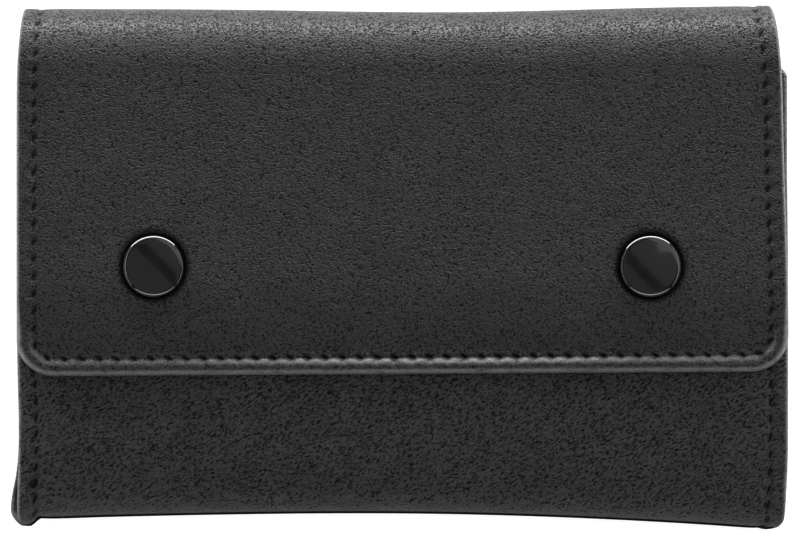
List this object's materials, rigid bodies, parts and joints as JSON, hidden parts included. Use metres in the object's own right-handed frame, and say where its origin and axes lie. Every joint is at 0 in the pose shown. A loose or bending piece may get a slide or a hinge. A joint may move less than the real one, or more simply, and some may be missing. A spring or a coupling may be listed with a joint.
{
  "type": "card holder",
  "caption": "Flap-over card holder: leather pouch with gusseted card compartments, closed by a flap with press studs.",
  "frame": {"origin": "under the middle of the closed holder, on the surface its back lies on", "axes": "+X across the width, +Y from the bottom fold to the top fold, +Z out of the front, through the flap"},
  "size_m": [0.114, 0.0774, 0.019],
  "materials": {
    "outer_leather": "fine pebbled black nappa, semi-matt",
    "lining_leather": "smooth black lining leather, matt",
    "gusset_leather": "thin black gusset leather, matt",
    "divider_leather": "thin black leather, semi-matt",
    "thread": "black bonded polyester sewing thread",
    "board": "brown bonded stiffening board",
    "cap_enamel": "glossy black enamel over metal",
    "snap_steel": "dark nickel plate, satin",
    "spring_steel": "bright spring wire"
  },
  "bodies": {
    "back": {"back_leather": "outer_leather", "back_lining": "lining_leather", "back_stitching": "thread", "gusset_left": "gusset_leather", "gusset_right": "gusset_leather"},
    "fold": {"fold_leather": "outer_leather", "fold_lining": "lining_leather", "fold_stitching": "thread"},
    "flap": {"flap_leather": "outer_leather", "flap_board": "board", "flap_lining": "lining_leather", "flap_stitching": "thread", "snap_caps": "cap_enamel", "snap_sockets": "snap_steel", "snap_springs": "spring_steel"},
    "front": {"front_leather": "outer_leather", "front_lining": "lining_leather", "front_stitching": "thread", "snap_studs": "snap_steel", "snap_posts": "snap_steel"},
    "rear_divider": {"rear_divider_leather": "divider_leather", "rear_divider_lining": "lining_leather"},
    "front_divider": {"front_divider_leather": "divider_leather", "front_divider_lining": "lining_leather"}
  },
  "joints": [
    {"name": "flap_opening", "type": "hinge", "parent": "back", "child": "fold", "pos_m": [0, 0.03609, 0.00261], "axis": [-1, 0, 0], "range_deg": [0, 88]},
    {"name": "flap_bend", "type": "hinge", "parent": "fold", "child": "flap", "pos_m": [0, 0.03609, 0.01519], "axis": [-1, 0, 0], "range_deg": [0, 88], "deforming": ["snap_springs"]},
    {"name": "front_spread", "type": "hinge", "parent": "back", "child": "front", "pos_m": [0, -0.0387, 0.0066], "axis": [1, 0, 0], "range_deg": [0, 18], "deforming": ["gusset_left", "gusset_right"]},
    {"name": "front_divider_spread", "type": "hinge", "parent": "back", "child": "front_divider", "pos_m": [0, -0.0387, 0.0066], "axis": [1, 0, 0], "range_deg": [0, 15.75]},
    {"name": "rear_divider_spread", "type": "hinge", "parent": "back", "child": "rear_divider", "pos_m": [0, -0.0387, 0.0066], "axis": [1, 0, 0], "range_deg": [0, 2.25]}
  ],
  "couplings": [
    {"joint": "flap_bend", "follows": "flap_opening", "ratio": 1},
    {"joint": "front_spread", "follows": "flap_opening", "ratio": 0.20455},
    {"joint": "front_divider_spread", "follows": "flap_opening", "ratio": 0.17896},
    {"joint": "rear_divider_spread", "follows": "flap_opening", "ratio": 0.025587}
  ]
}
